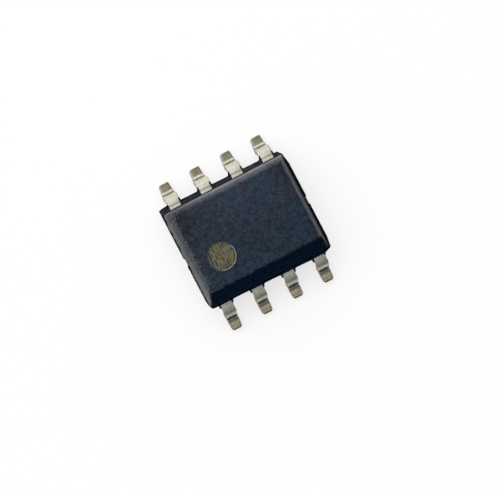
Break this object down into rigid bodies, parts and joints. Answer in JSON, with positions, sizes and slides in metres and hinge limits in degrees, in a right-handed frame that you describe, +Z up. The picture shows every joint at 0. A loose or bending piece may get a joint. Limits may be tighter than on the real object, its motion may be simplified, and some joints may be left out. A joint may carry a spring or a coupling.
{
  "type": "integrated circuit",
  "caption": "Small-outline integrated circuit: moulded body with a bevelled edge and a round pin 1 mark, gull-wing leads along two sides, and a wired die on a paddle inside.",
  "frame": {"origin": "middle of the plane that the feet rest on, below the middle of the body", "axes": "+X along the body from the lead 1 end, +Y across the rows away from lead 1, +Z up"},
  "size_m": [0.005, 0.006, 0.0016],
  "materials": {
    "moulding": "matte, finely grained moulding compound",
    "tin_plate": "matte tin plating on copper alloy",
    "frame_copper": "bare stamped copper alloy",
    "attach": "cured silver-filled adhesive",
    "silicon": "polished silicon",
    "wire_gold": "drawn gold wire"
  },
  "bodies": {
    "root": {"mold_body": "moulding", "die_paddle": "frame_copper", "die_attach": "attach", "silicon_die": "silicon", "lead_1": "tin_plate", "lead_2": "tin_plate", "lead_3": "tin_plate", "lead_4": "tin_plate", "lead_5": "tin_plate", "lead_6": "tin_plate", "lead_7": "tin_plate", "lead_8": "tin_plate", "bond_wire_1": "wire_gold", "bond_wire_2": "wire_gold", "bond_wire_3": "wire_gold", "bond_wire_4": "wire_gold", "bond_wire_5": "wire_gold", "bond_wire_6": "wire_gold", "bond_wire_7": "wire_gold", "bond_wire_8": "wire_gold"}
  },
  "joints": []
}
